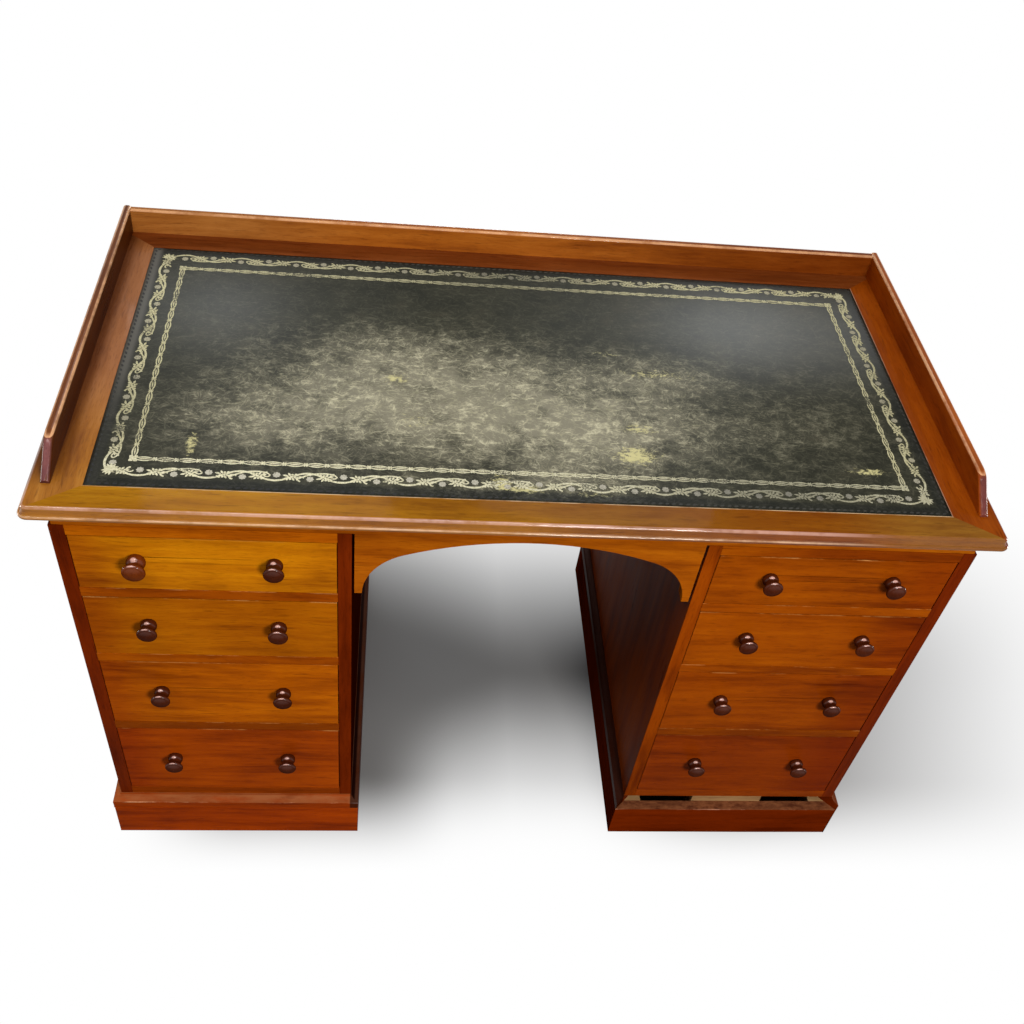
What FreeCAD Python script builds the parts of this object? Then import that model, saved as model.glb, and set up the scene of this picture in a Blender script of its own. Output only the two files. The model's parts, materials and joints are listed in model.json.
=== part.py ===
import FreeCAD, Part
import math
import os

from FreeCAD import Vector

# Kneehole pedestal desk, in millimetres: X to the right, Y to the back, Z up from the floor.
# Both pedestals are worked out on the right, at positive X, and mirrored for the left.

# Top: four mitred border boards around a panel that carries the leather
top_width = 1229.0
top_depth = 610.0
surface_height = 762.0
top_thickness = 22.0
border_side_width = 69.5
border_front_width = 45.0
border_back_width = 56.0
leather_thickness = 1.4
leather_recess = 0.3

# Moulded edge of the top, from the surface down: round, shallow hollow, bead and an undercut foot
edge_flat = 3.0
edge_round_radius = 5.0
edge_neck_inset = 5.0
edge_hollow_depth = 0.5
edge_bead_height = 6.0
edge_bead_depth = 3.0
edge_foot_height = 4.6
edge_foot_inset = 6.5

# Gallery around the back and ends of the top
gallery_height = 38.0
gallery_thickness = 12.0
gallery_side_inset = 20.5
gallery_back_inset = 6.0
gallery_toe_inset = 46.0
gallery_round_radius = 4.5
gallery_sweep_length = 57.0
gallery_sweep_shares = ((0.0, 1.0), (0.22, 0.945), (0.42, 0.76), (0.72, 0.40), (1.0, 0.10))

# Battens under the top, and the arched apron in front of them
batten_height = 20.0
batten_width = 40.0
frame_recess = 4.0
apron_recess = 0.8
apron_thickness = 20.0
apron_end_gap = 3.0
apron_foot_drop = 113.0
apron_foot_width = 10.0
arch_crown_drop = 7.0
arch_corner_share = 0.77
apron_block_length = 50.0
apron_block_size = 18.0
apron_block_shares = (-0.75, -0.25, 0.25, 0.75)

# Pedestal carcasses
front_overhang = 18.0
back_overhang = 18.0
side_overhang = 27.5
pedestal_width = 361.0
side_thickness = 18.0
back_thickness = 12.0
top_board_thickness = 17.0
bottom_board_thickness = 18.0

# Drawer openings from the top down, as shares of the height that they divide among them
drawer_height_shares = (0.98, 1.21, 1.48, 1.67)

# Drawer dividers with stub tenons, runners behind them and drawer stops on them
divider_thickness = 17.0
divider_depth = 60.0
tenon_length = 7.0
tenon_thickness = 8.0
tenon_shoulder = 8.0
runner_width = 22.0
stop_width = 30.0
stop_depth = 12.0
stop_height = 6.0
stop_clearance = 0.3
stop_spread = 160.0

# Plinth boards, the coved moulding on top of them and the glue blocks inside
plinth_height = 76.0
plinth_thickness = 17.0
plinth_projection = 12.0
moulding_height = 24.0
moulding_width = 25.0
cove_height = 9.0
cove_lip = 1.0
cove_sag_share = 0.28
corner_block_size = 28.0
block_floor_gap = 6.0
front_block_length = 120.0
front_block_depth = 25.0
front_block_drop = 60.0
front_block_bevel = 9.0
sides_without_front_moulding = ("right",)

# Drawers
drawer_rear_gap = 36.5
front_thickness = 20.0
front_recess = 0.5
drawer_side_thickness = 10.0
drawer_back_thickness = 10.0
drawer_bottom_thickness = 6.0
drawer_bottom_lift = 9.0
groove_depth = 4.0
side_clearance = 1.0
top_clearance = 1.7
run_clearance = 0.3
side_top_drop = 4.0
back_top_drop = 8.0
dovetail_lap = 6.0
dovetail_pitch = 38.0
dovetail_flare = 2.5
dovetail_width_share = 0.62

# Turned knobs: a bead against the drawer front, a waist and a domed button
knob_reach = 25.8
knob_button_radius = 12.9
knob_bead_radius = 10.7
knob_waist_radius = 8.7
knob_tenon_radius = 5.0
knob_fit = 0.15
knob_spread = 169.0
knob_rise = 8.0
knob_dome_rise = 3.0
knob_bead_root_share = 0.86
knob_button_root_share = 0.74
knob_face_share = 0.79
knob_bead_middle_share = 0.18
knob_bead_end_share = 0.37
knob_waist_share = 0.50
knob_button_start_share = 0.65
knob_rim_share = 0.82

# The larger knob at the left of the top left drawer
large_knob_reach = 28.5
large_knob_button_radius = 14.3
large_knob_bead_radius = 12.0
large_knob_place = ("left", 0, 1)

# Screws up through the pedestal tops into the battens
screw_length = 30.0
screw_shank_radius = 2.25
screw_head_radius = 4.5
screw_head_height = 3.0
screw_fit = 0.1
screw_end_inset = 90.0

# Cuts run past the faces that they go through by this much
overrun = 5.0

# Places worked out from the sizes above
half_width = top_width / 2
half_depth = top_depth / 2
frame_top = surface_height - top_thickness
carcass_top = frame_top - batten_height
carcass_bottom = plinth_height + moulding_height
drawer_levels = range(len(drawer_height_shares))
divider_levels = drawer_levels[:-1]
boards_height = top_board_thickness + len(divider_levels) * divider_thickness + bottom_board_thickness
drawer_space = carcass_top - carcass_bottom - boards_height
drawer_openings = [drawer_space * share / sum(drawer_height_shares) for share in drawer_height_shares]
front_plane = front_overhang - half_depth
back_plane = half_depth - back_overhang
outer_face = half_width - side_overhang
inner_face = outer_face - pedestal_width
opening_left = inner_face + side_thickness
opening_right = outer_face - side_thickness
opening_middle = (opening_left + opening_right) / 2
drawer_face = front_plane + front_recess
back_inside = back_plane - back_thickness
drawer_rear = back_inside - drawer_rear_gap
furthest_knob = max(knob_reach, large_knob_reach)
origin_shift = (furthest_knob - drawer_face - half_depth) / 2


def box(x0, x1, y0, y1, z0, z1):
    """A block between two corners."""
    return Part.makeBox(x1 - x0, y1 - y0, z1 - z0, Vector(x0, y0, z0))


def prism(points, direction):
    """A solid with a flat polygon as its section."""
    face = Part.Face(Part.makePolygon(points + points[:1]))
    return face.extrude(direction)


def curve(start, middle, end):
    """An arc through three points."""
    return Part.Arc(start, middle, end).toShape()


def line(start, end):
    return Part.LineSegment(start, end).toShape()


def mirrored(shape, side):
    """The shape itself on the right, or its mirror image on the left."""
    if side == "left":
        return shape.mirror(Vector(0, 0, 0), Vector(1, 0, 0))
    return shape


def save(name, solids):
    """Writes a node, with the origin under the middle of the desk and its knobs."""
    shape = Part.makeCompound(solids)
    shape.translate(Vector(0, origin_shift, 0))
    shape.exportStep(os.path.join("parts", name + ".step"))


# Top


def edge_section(place):
    """The moulded edge as a face. place turns an inset and a drop into a point."""
    core = edge_flat + edge_round_radius + edge_neck_inset
    bead_bottom = top_thickness - edge_foot_height
    bead_top = bead_bottom - edge_bead_height
    slant = 1 - math.sqrt(0.5)
    round_start = place(edge_neck_inset + edge_round_radius, 0)
    round_middle = place(edge_neck_inset + slant * edge_round_radius, slant * edge_round_radius)
    round_end = place(edge_neck_inset, edge_round_radius)
    hollow_middle = place((edge_neck_inset + edge_bead_depth) / 2 + edge_hollow_depth,
                          (edge_round_radius + bead_top) / 2)
    bead_start = place(edge_bead_depth, bead_top)
    bead_middle = place(0, (bead_top + bead_bottom) / 2)
    bead_end = place(edge_bead_depth, bead_bottom)
    foot = place(edge_foot_inset, top_thickness)
    edges = [
        line(place(core, 0), round_start),
        curve(round_start, round_middle, round_end),
        curve(round_end, hollow_middle, bead_start),
        curve(bead_start, bead_middle, bead_end),
        line(bead_end, foot),
        line(foot, place(core, top_thickness)),
        line(place(core, top_thickness), place(core, 0)),
    ]
    return Part.Face(Part.Wire(edges))


def moulded_slab():
    """The whole top as one slab with its moulding carried round the corners."""
    core = edge_flat + edge_round_radius + edge_neck_inset
    x = half_width - core
    y = half_depth - core
    slab = box(-x, x, -y, y, frame_top, surface_height)
    long_section = edge_section(lambda inset, drop: Vector(-x, inset - half_depth, surface_height - drop))
    short_section = edge_section(lambda inset, drop: Vector(half_width - inset, -y, surface_height - drop))
    corner_section = edge_section(lambda inset, drop: Vector(half_width - inset, -y, surface_height - drop))
    front = long_section.extrude(Vector(2 * x, 0, 0))
    right = short_section.extrude(Vector(0, 2 * y, 0))
    corner = corner_section.revolve(Vector(x, -y, 0), Vector(0, 0, 1), -90)
    quarter = [front, right, corner]
    rest = [piece.copy() for piece in quarter]
    for piece in rest:
        piece.rotate(Vector(0, 0, 0), Vector(0, 0, 1), 180)
    others = [corner.mirror(Vector(0, 0, 0), normal) for normal in (Vector(1, 0, 0), Vector(0, 1, 0))]
    return slab.multiFuse(quarter + rest + others).removeSplitter()


def make_top():
    inner_x = half_width - border_side_width
    inner_front = border_front_width - half_depth
    inner_back = half_depth - border_back_width
    outer = [(-half_width, -half_depth), (half_width, -half_depth),
             (half_width, half_depth), (-half_width, half_depth)]
    inner = [(-inner_x, inner_front), (inner_x, inner_front),
             (inner_x, inner_back), (-inner_x, inner_back)]
    slab = moulded_slab()
    for start, name in enumerate(("front", "right", "back", "left")):
        end = (start + 1) % len(outer)
        corners = [outer[start], outer[end], inner[end], inner[start]]
        wedge = prism([Vector(x, y, frame_top) for x, y in corners], Vector(0, 0, top_thickness))
        save("top_border_" + name, slab.common(wedge).Solids)
    leather_top = surface_height - leather_recess
    panel_top = leather_top - leather_thickness
    panel = box(-inner_x, inner_x, inner_front, inner_back, frame_top, panel_top)
    leather = box(-inner_x, inner_x, inner_front, inner_back, panel_top, leather_top)
    save("top_panel", [panel])
    save("leather_writing_surface", [leather])


def rounded(board, reach_across):
    """A gallery board with its upper edges rounded, but not those that reach across it."""
    upper = [edge for edge in board.Edges
             if edge.BoundBox.ZMin > surface_height and reach_across(edge.BoundBox) < gallery_round_radius]
    return board.makeFillet(gallery_round_radius, upper)


def make_gallery():
    outer_x = half_width - gallery_side_inset
    inner_x = outer_x - gallery_thickness
    back = half_depth - gallery_back_inset
    toe = gallery_toe_inset - half_depth
    top = surface_height + gallery_height
    back_board = box(-inner_x, inner_x, back - gallery_thickness, back, surface_height, top)
    save("gallery_back", rounded(back_board, lambda bounds: bounds.YLength).Solids)
    sweep = [Vector(inner_x, toe + gallery_sweep_length * (1 - along), surface_height + gallery_height * up)
             for along, up in gallery_sweep_shares]
    heel = Vector(inner_x, back, surface_height)
    rear_top = Vector(inner_x, back, top)
    toe_foot = Vector(inner_x, toe, surface_height)
    edges = [
        line(toe_foot, heel),
        line(heel, rear_top),
        line(rear_top, sweep[0]),
        curve(*sweep[:3]),
        curve(*sweep[2:]),
        line(sweep[-1], toe_foot),
    ]
    end_board = Part.Face(Part.Wire(edges)).extrude(Vector(gallery_thickness, 0, 0))
    end_board = rounded(end_board, lambda bounds: bounds.XLength)
    for side in ("left", "right"):
        save("gallery_" + side, mirrored(end_board, side).Solids)


# Under the top


def screw_places():
    """Where the screws stand on the right: over the end batten and the cross batten."""
    outer_x = (outer_face - frame_recess - batten_width + opening_right) / 2
    inner_x = (inner_face + frame_recess + batten_width + opening_left) / 2
    return [(x, y) for x in (inner_x, outer_x)
            for y in (front_plane + screw_end_inset, back_plane - screw_end_inset)]


def screws(side, fit):
    """Countersunk screws, or with some fit the holes for them."""
    bottom = carcass_top - top_board_thickness
    solids = []
    for x, y in screw_places():
        foot = Vector(x, y, bottom)
        head = Part.makeCone(screw_head_radius + fit, screw_shank_radius + fit, screw_head_height, foot)
        shank = Part.makeCylinder(screw_shank_radius + fit, screw_length + fit, foot)
        solids.append(mirrored(head.fuse(shank), side))
    return solids


def make_battens():
    x1 = outer_face - frame_recess
    y1 = back_plane - frame_recess
    apron_back = front_plane + apron_recess + apron_thickness
    save("top_back_batten", [box(-x1, x1, y1 - batten_width, y1, carcass_top, frame_top)])
    end = box(x1 - batten_width, x1, apron_back, y1 - batten_width, carcass_top, frame_top)
    x0 = inner_face + frame_recess
    cross = box(x0, x0 + batten_width, apron_back, y1 - batten_width, carcass_top, frame_top)
    for name, batten in (("top_end_battens", end), ("top_cross_battens", cross)):
        solids = []
        for side in ("left", "right"):
            holes = Part.makeCompound(screws(side, screw_fit))
            solids.append(mirrored(batten, side).cut(holes))
        save(name, solids)


def make_apron():
    """A board cut to an arch over the kneehole, with a thin ear on top of each pedestal."""
    y = front_plane + apron_recess
    ear_x = outer_face - frame_recess
    neck_x = inner_face - apron_end_gap
    span = neck_x - apron_foot_width
    foot_z = carcass_top - apron_foot_drop
    crown_z = carcass_top - arch_crown_drop
    rise = crown_z - foot_z
    small = arch_corner_share * rise
    large = (span ** 2 + rise ** 2 - 2 * span * small) / (2 * (rise - small))
    reach = math.atan2(span - small, large - rise)
    tangent = (span - small + small * math.sin(reach), foot_z + small * math.cos(reach))
    halfway = (math.pi / 2 + reach) / 2
    shoulder = (span - small + small * math.sin(halfway), foot_z + small * math.cos(halfway))

    def at(x, z):
        return Vector(x, y, z)

    outline = [
        line(at(-ear_x, frame_top), at(ear_x, frame_top)),
        line(at(ear_x, frame_top), at(ear_x, carcass_top)),
        line(at(ear_x, carcass_top), at(neck_x, carcass_top)),
        line(at(neck_x, carcass_top), at(neck_x, foot_z)),
        line(at(neck_x, foot_z), at(span, foot_z)),
        curve(at(span, foot_z), at(*shoulder), at(*tangent)),
        curve(at(*tangent), at(0, crown_z), at(-tangent[0], tangent[1])),
        curve(at(-tangent[0], tangent[1]), at(-shoulder[0], shoulder[1]), at(-span, foot_z)),
        line(at(-span, foot_z), at(-neck_x, foot_z)),
        line(at(-neck_x, foot_z), at(-neck_x, carcass_top)),
        line(at(-neck_x, carcass_top), at(-ear_x, carcass_top)),
        line(at(-ear_x, carcass_top), at(-ear_x, frame_top)),
    ]
    board = Part.Face(Part.Wire(outline)).extrude(Vector(0, apron_thickness, 0))
    save("arched_apron", [board])
    back = y + apron_thickness
    blocks = []
    for share in apron_block_shares:
        middle = share * span
        blocks.append(box(middle - apron_block_length / 2, middle + apron_block_length / 2,
                          back, back + apron_block_size, frame_top - apron_block_size, frame_top))
    save("apron_glue_blocks", blocks)


# Pedestals


def drawer_floor(index):
    """The height of the runners under a drawer, counted from the top drawer down."""
    used = sum(drawer_openings[:index + 1]) + index * divider_thickness
    return carcass_top - top_board_thickness - used


def divider_tenons(index):
    top = drawer_floor(index)
    low = top - (divider_thickness + tenon_thickness) / 2
    y0 = front_plane + tenon_shoulder
    y1 = front_plane + divider_depth - tenon_shoulder
    return [box(opening_left - tenon_length, opening_left, y0, y1, low, low + tenon_thickness),
            box(opening_right, opening_right + tenon_length, y0, y1, low, low + tenon_thickness)]


def make_carcass(side):
    tenons = [tenon for index in divider_levels for tenon in divider_tenons(index)]
    panels = {
        "inner_side": box(inner_face, opening_left, front_plane, back_plane, carcass_bottom, carcass_top),
        "outer_side": box(opening_right, outer_face, front_plane, back_plane, carcass_bottom, carcass_top),
    }
    for name, panel in panels.items():
        save("pedestal_" + side + "_" + name, [mirrored(panel.cut(Part.makeCompound(tenons)), side)])
    back = box(opening_left, opening_right, back_inside, back_plane, carcass_bottom, carcass_top)
    save("pedestal_" + side + "_back", [mirrored(back, side)])
    bottom_top = carcass_bottom + bottom_board_thickness
    bottom = box(opening_left, opening_right, front_plane, back_inside, carcass_bottom, bottom_top)
    save("pedestal_" + side + "_bottom_board", [mirrored(bottom, side)])
    top_low = carcass_top - top_board_thickness
    top = mirrored(box(opening_left, opening_right, front_plane, back_inside, top_low, carcass_top), side)
    save("pedestal_" + side + "_top_board", [top.cut(Part.makeCompound(screws(side, screw_fit)))])


def make_dividers(side):
    divider_back = front_plane + divider_depth
    dividers = []
    runners = []
    for index in divider_levels:
        top = drawer_floor(index)
        low = top - divider_thickness
        rail = box(opening_left, opening_right, front_plane, divider_back, low, top)
        dividers.append(mirrored(rail.multiFuse(divider_tenons(index)), side))
        for x0 in (opening_left, opening_right - runner_width):
            runner = box(x0, x0 + runner_width, divider_back, back_inside, low, top)
            runners.append(mirrored(runner, side))
    save("pedestal_" + side + "_drawer_dividers", dividers)
    save("pedestal_" + side + "_drawer_runners", runners)


def drawer_stops(side):
    """Two blocks behind each drawer front, which keep it flush when it is pushed in."""
    y0 = drawer_face + front_thickness + stop_clearance
    solids = []
    for index in drawer_levels:
        low = drawer_floor(index)
        for way in (-1, 1):
            x0 = opening_middle + (way * stop_spread - stop_width) / 2
            block = box(x0, x0 + stop_width, y0, y0 + stop_depth, low, low + stop_height)
            solids.append(mirrored(block, side))
    return solids


def ring_corners(inset):
    """The corners of the plinth's outline in plan, moved in by an inset: front, right, back, left."""
    x0 = inner_face - plinth_projection + inset
    x1 = outer_face + plinth_projection - inset
    y0 = front_plane - plinth_projection + inset
    y1 = back_plane + plinth_projection - inset
    return [(x0, y0), (x1, y0), (x1, y1), (x0, y1)]


def mitred_wedges(width, low, high):
    """Four mitred lengths around the plinth: front, outer side, back and inner side."""
    outer = ring_corners(0)
    inner = ring_corners(width)
    wedges = []
    for start in range(len(outer)):
        end = (start + 1) % len(outer)
        corners = [outer[start], outer[end], inner[end], inner[start]]
        wedges.append(prism([Vector(x, y, low) for x, y in corners], Vector(0, 0, high - low)))
    return wedges


def cove_cutter(start, end):
    """What the cove takes off the top outer edge between two corners of the plinth's outline."""
    along = Vector(end[0] - start[0], end[1] - start[1], 0)
    inward = Vector(-along.y, along.x, 0).normalize()
    foot = Vector(start[0], start[1], carcass_bottom)
    wide = plinth_projection - cove_lip
    up = Vector(0, 0, 1)
    low = foot - up * cove_height
    high = foot + inward * wide
    middle = (low + high) / 2
    bow = (inward * cove_height - up * wide).normalize() * cove_sag_share * cove_height
    corner = foot - inward * overrun + up * overrun
    rim = [
        curve(low, middle + bow, high),
        line(high, high + up * overrun),
        line(high + up * overrun, corner),
        line(corner, low - inward * overrun),
        line(low - inward * overrun, low),
    ]
    section = Part.Face(Part.Wire(rim))
    section.translate(along.normalize() * -overrun)
    reach = Vector(end[0] - start[0], end[1] - start[1], 0).Length + 2 * overrun
    return section.extrude(along.normalize() * reach)


def make_plinth(side):
    boards = [mirrored(board, side) for board in mitred_wedges(plinth_thickness, 0, plinth_height)]
    save("plinth_" + side + "_boards", boards)
    corners = ring_corners(0)
    strips = []
    for start, wedge in enumerate(mitred_wedges(moulding_width, plinth_height, carcass_bottom)):
        if start == 0 and side in sides_without_front_moulding:
            continue
        end = (start + 1) % len(corners)
        strips.append(mirrored(wedge.cut(cove_cutter(corners[start], corners[end])), side))
    save("plinth_" + side + "_moulding", strips)


def plinth_blocks(side):
    """Square blocks in the corners of the plinth, and a bevelled one behind its front board."""
    inside = ring_corners(plinth_thickness)
    size = corner_block_size
    solids = []
    for (x, y), way_x, way_y in zip(inside, (1, -1, -1, 1), (1, 1, -1, -1)):
        xs = sorted((x, x + way_x * size))
        ys = sorted((y, y + way_y * size))
        solids.append(box(xs[0], xs[1], ys[0], ys[1], block_floor_gap, plinth_height))
    top = carcass_bottom if side in sides_without_front_moulding else plinth_height
    low = top - front_block_drop
    y0 = inside[0][1]
    x0 = opening_middle - front_block_length / 2
    x1 = opening_middle + front_block_length / 2
    outline = [(x0, low), (x1, low), (x1, top),
               (x0 + front_block_bevel, top), (x0, top - front_block_bevel)]
    solids.append(prism([Vector(x, y0, z) for x, z in outline], Vector(0, front_block_depth, 0)))
    return [mirrored(solid, side) for solid in solids]


# Drawers


def dovetails(x, low, height, root):
    """Tails on a drawer side, which flare into the back of the drawer front."""
    count = max(1, int(height // dovetail_pitch))
    pitch = height / count
    tip = root - front_thickness + dovetail_lap
    half_tip = dovetail_width_share * pitch / 2
    half_root = half_tip - dovetail_flare
    tails = []
    for index in range(count):
        z = low + pitch * (index + 0.5)
        outline = [(root, z - half_root), (tip, z - half_tip), (tip, z + half_tip), (root, z + half_root)]
        tails.append(prism([Vector(x, y, h) for y, h in outline], Vector(drawer_side_thickness, 0, 0)))
    return tails


def knob(reach, button_radius, bead_radius):
    """A turned knob about the Y axis, its seat at the origin and its tenon behind."""
    def at(radius, share):
        return Vector(radius, -share * reach, 0)

    seat = at(knob_bead_root_share * bead_radius, 0)
    bead_end = at(knob_bead_root_share * bead_radius, knob_bead_end_share)
    button_start = at(knob_button_root_share * button_radius, knob_button_start_share)
    face_radius = knob_face_share * button_radius
    face = Vector(face_radius, knob_dome_rise - reach, 0)
    dome_radius = (face_radius ** 2 + knob_dome_rise ** 2) / (2 * knob_dome_rise)
    half_turn = math.asin(face_radius / dome_radius) / 2
    dome = Vector(dome_radius * math.sin(half_turn), dome_radius * (1 - math.cos(half_turn)) - reach, 0)
    nose = at(0, 1)
    tenon_end = Vector(0, front_thickness, 0)
    tenon_rim = Vector(knob_tenon_radius, front_thickness, 0)
    tenon_root = Vector(knob_tenon_radius, 0, 0)
    profile = [
        line(tenon_end, tenon_rim),
        line(tenon_rim, tenon_root),
        line(tenon_root, seat),
        curve(seat, at(bead_radius, knob_bead_middle_share), bead_end),
        curve(bead_end, at(knob_waist_radius, knob_waist_share), button_start),
        curve(button_start, at(button_radius, knob_rim_share), face),
        curve(face, dome, nose),
        line(nose, tenon_end),
    ]
    return Part.Face(Part.Wire(profile)).revolve(Vector(0, 0, 0), Vector(0, 1, 0), 360)


def make_drawer(side, index):
    name = "drawer_" + side + "_" + str(index + 1)
    x0 = opening_left + side_clearance
    x1 = opening_right - side_clearance
    low = drawer_floor(index) + run_clearance
    front_height = drawer_openings[index] - run_clearance - top_clearance
    side_height = front_height - side_top_drop
    front_back = drawer_face + front_thickness
    bottom_low = low + drawer_bottom_lift
    bottom_top = bottom_low + drawer_bottom_thickness
    inside_left = x0 + drawer_side_thickness
    inside_right = x1 - drawer_side_thickness

    panel = box(inside_left - groove_depth, inside_right + groove_depth,
                front_back, drawer_rear, bottom_low, bottom_top)
    tongue = box(inside_left, inside_right, front_back - groove_depth, front_back, bottom_low, bottom_top)
    bottom = panel.fuse(tongue).removeSplitter()

    sides = []
    front = box(x0, x1, drawer_face, front_back, low, low + front_height)
    for x in (x0, inside_right):
        tails = dovetails(x, low, side_height, front_back)
        board = box(x, x + drawer_side_thickness, front_back, drawer_rear, low, low + side_height)
        sides.append(board.multiFuse(tails).cut(panel).removeSplitter())
        front = front.cut(Part.makeCompound(tails))
    back_top = low + side_height - back_top_drop
    back = box(inside_left, inside_right, drawer_rear - drawer_back_thickness, drawer_rear,
               bottom_top, back_top)

    knob_z = low + front_height / 2 + knob_rise
    knobs = []
    large_knobs = []
    front = front.cut(tongue)
    for way in (-1, 1):
        x = opening_middle + way * knob_spread / 2
        hole_start = Vector(x, drawer_face - overrun, knob_z)
        hole_length = front_thickness + 2 * overrun
        hole_radius = knob_tenon_radius + knob_fit
        front = front.cut(Part.makeCylinder(hole_radius, hole_length, hole_start, Vector(0, 1, 0)))
        if (side, index, way) == large_knob_place:
            turned = knob(large_knob_reach, large_knob_button_radius, large_knob_bead_radius)
            target = large_knobs
        else:
            turned = knob(knob_reach, knob_button_radius, knob_bead_radius)
            target = knobs
        turned.translate(Vector(x, drawer_face, knob_z))
        target.append(mirrored(turned, side))

    save(name + "_front", [mirrored(front, side)])
    save(name + "_box", [mirrored(solid, side) for solid in sides + [back, bottom]])
    save(name + "_knobs", knobs)
    if large_knobs:
        save(name + "_large_knob", large_knobs)


os.makedirs("parts", exist_ok=True)
make_top()
make_gallery()
make_battens()
make_apron()
both_sides = ("left", "right")
for hand in both_sides:
    make_carcass(hand)
    make_dividers(hand)
    make_plinth(hand)
    for number in drawer_levels:
        make_drawer(hand, number)
save("plinth_glue_blocks", [block for hand in both_sides for block in plinth_blocks(hand)])
save("drawer_stops", [stop for hand in both_sides for stop in drawer_stops(hand)])
save("top_screws", [screw for hand in both_sides for screw in screws(hand, 0)])
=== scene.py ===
import json
import math
import random

import bpy
from mathutils import Matrix, Vector, noise

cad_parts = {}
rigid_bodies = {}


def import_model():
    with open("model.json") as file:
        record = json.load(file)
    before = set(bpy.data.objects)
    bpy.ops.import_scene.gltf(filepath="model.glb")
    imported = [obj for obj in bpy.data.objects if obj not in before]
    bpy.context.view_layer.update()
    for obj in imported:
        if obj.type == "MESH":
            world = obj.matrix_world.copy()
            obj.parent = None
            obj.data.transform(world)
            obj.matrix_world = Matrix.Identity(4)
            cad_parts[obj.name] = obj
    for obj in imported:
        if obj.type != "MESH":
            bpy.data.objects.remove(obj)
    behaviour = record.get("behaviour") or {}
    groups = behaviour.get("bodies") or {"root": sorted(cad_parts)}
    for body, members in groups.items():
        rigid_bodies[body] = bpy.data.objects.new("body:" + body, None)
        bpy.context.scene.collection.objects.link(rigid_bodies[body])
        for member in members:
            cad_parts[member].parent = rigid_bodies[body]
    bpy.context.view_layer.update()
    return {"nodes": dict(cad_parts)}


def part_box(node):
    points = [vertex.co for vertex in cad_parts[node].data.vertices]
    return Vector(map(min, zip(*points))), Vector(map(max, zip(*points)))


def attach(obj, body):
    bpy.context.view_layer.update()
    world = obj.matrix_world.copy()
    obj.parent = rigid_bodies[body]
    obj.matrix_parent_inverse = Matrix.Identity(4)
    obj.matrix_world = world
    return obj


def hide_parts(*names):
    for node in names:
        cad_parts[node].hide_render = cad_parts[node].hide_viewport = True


for thing in list(bpy.data.objects):
    bpy.data.objects.remove(thing)
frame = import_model()
nodes = frame["nodes"]
scene = bpy.context.scene
MM = 0.001
# The numbers of the axes, and of a box's two corners
X, Y, Z = 0, 1, 2
LOW, HIGH = 0, 1


def srgb(red, green, blue):
    """A colour as seen on screen, 0 to 255, in the linear values that shaders take."""
    def linear(value):
        value /= 255
        return value / 12.92 if value <= 0.04045 else ((value + 0.055) / 1.055) ** 2.4
    return linear(red), linear(green), linear(blue), 1.0


# Materials


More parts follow.
